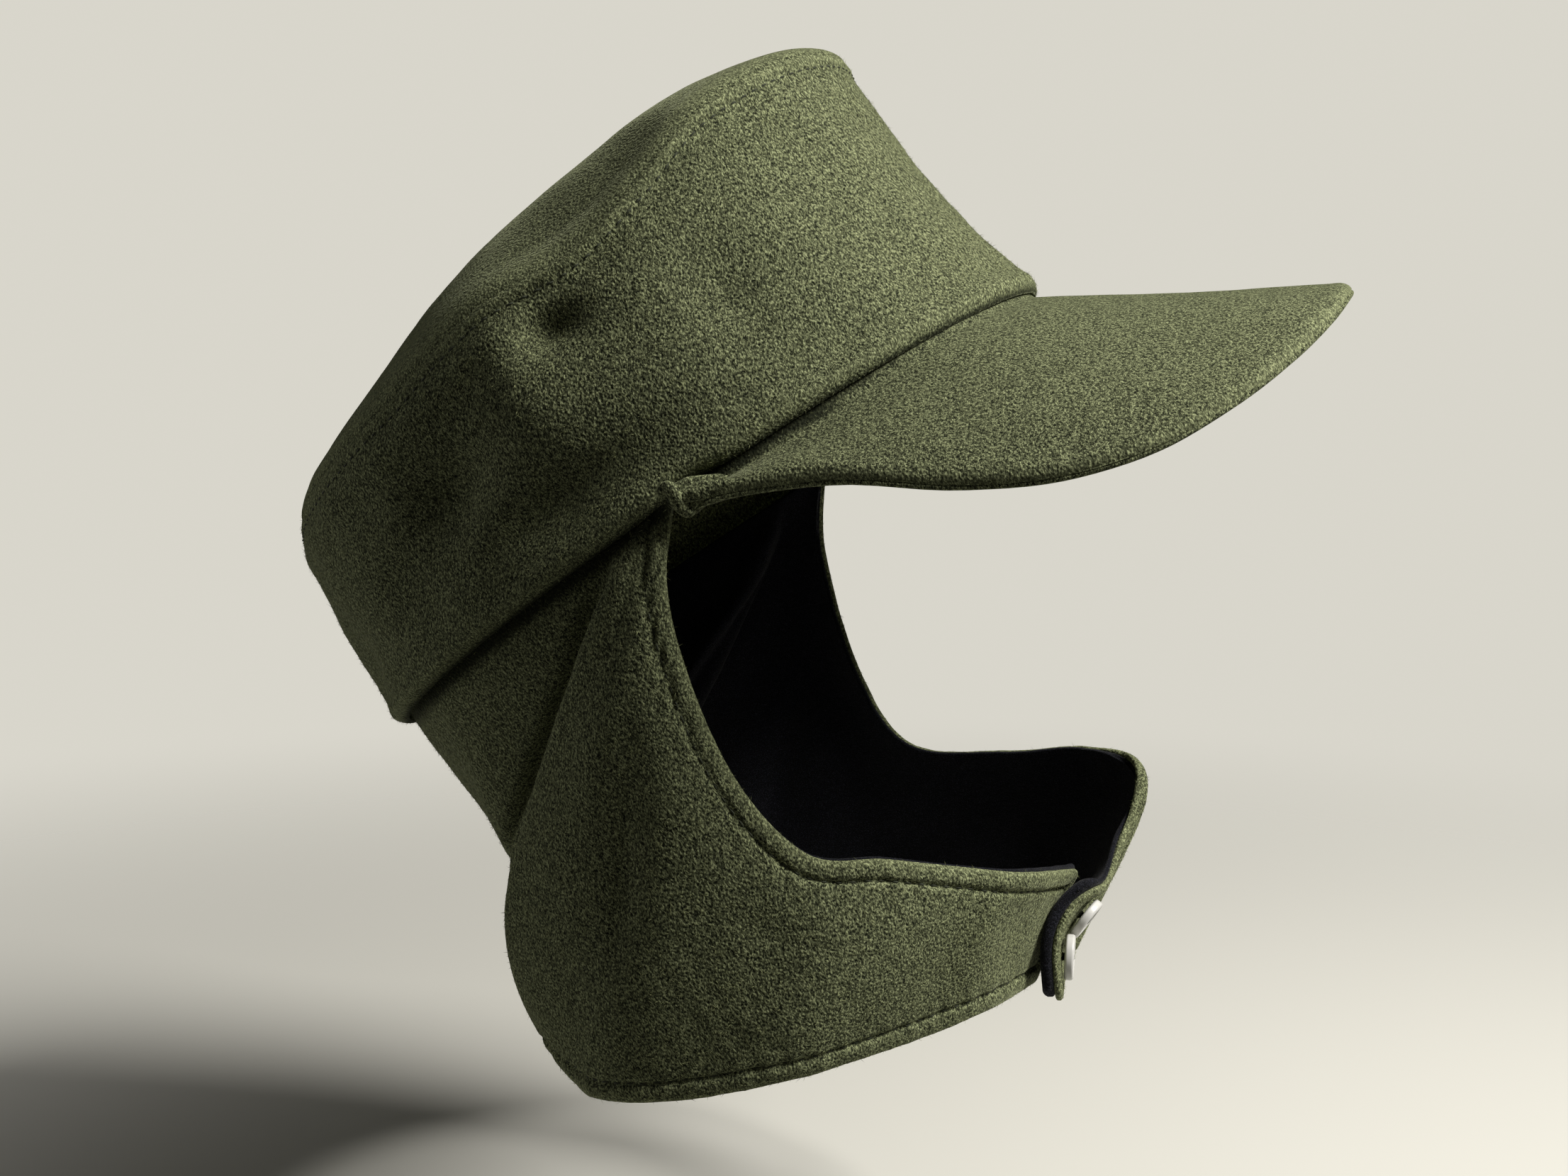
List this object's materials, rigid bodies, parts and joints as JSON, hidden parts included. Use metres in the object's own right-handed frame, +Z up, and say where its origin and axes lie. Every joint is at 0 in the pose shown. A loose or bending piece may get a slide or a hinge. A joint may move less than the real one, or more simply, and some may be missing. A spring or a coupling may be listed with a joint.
{
  "type": "military field cap",
  "caption": "Wool field cap with a tall soft crown, a long curved peak and ear flaps turned down and buttoned in front of the chin.",
  "frame": {"origin": "centre of the head opening, the ring where the crown, the peak and the flaps are sewn together", "axes": "+X forward over the peak, +Y to the wearer's left, +Z up with the head upright"},
  "size_m": [0.2815, 0.1734, 0.2634],
  "materials": {
    "wool": "fulled wool, matt with short fuzz",
    "peak_cloth": "smoother dark green cotton",
    "lining": "dark navy brushed cloth",
    "button": "pale, softly glossy"
  },
  "bodies": {
    "root": {"crown_side": "wool", "crown_top": "wool", "peak_upper": "wool", "peak_under": "peak_cloth", "flap_right": "wool", "flap_lining_right": "lining", "flap_left": "wool", "flap_lining_left": "lining", "button_upper": "button", "button_lower": "button"}
  },
  "joints": []
}
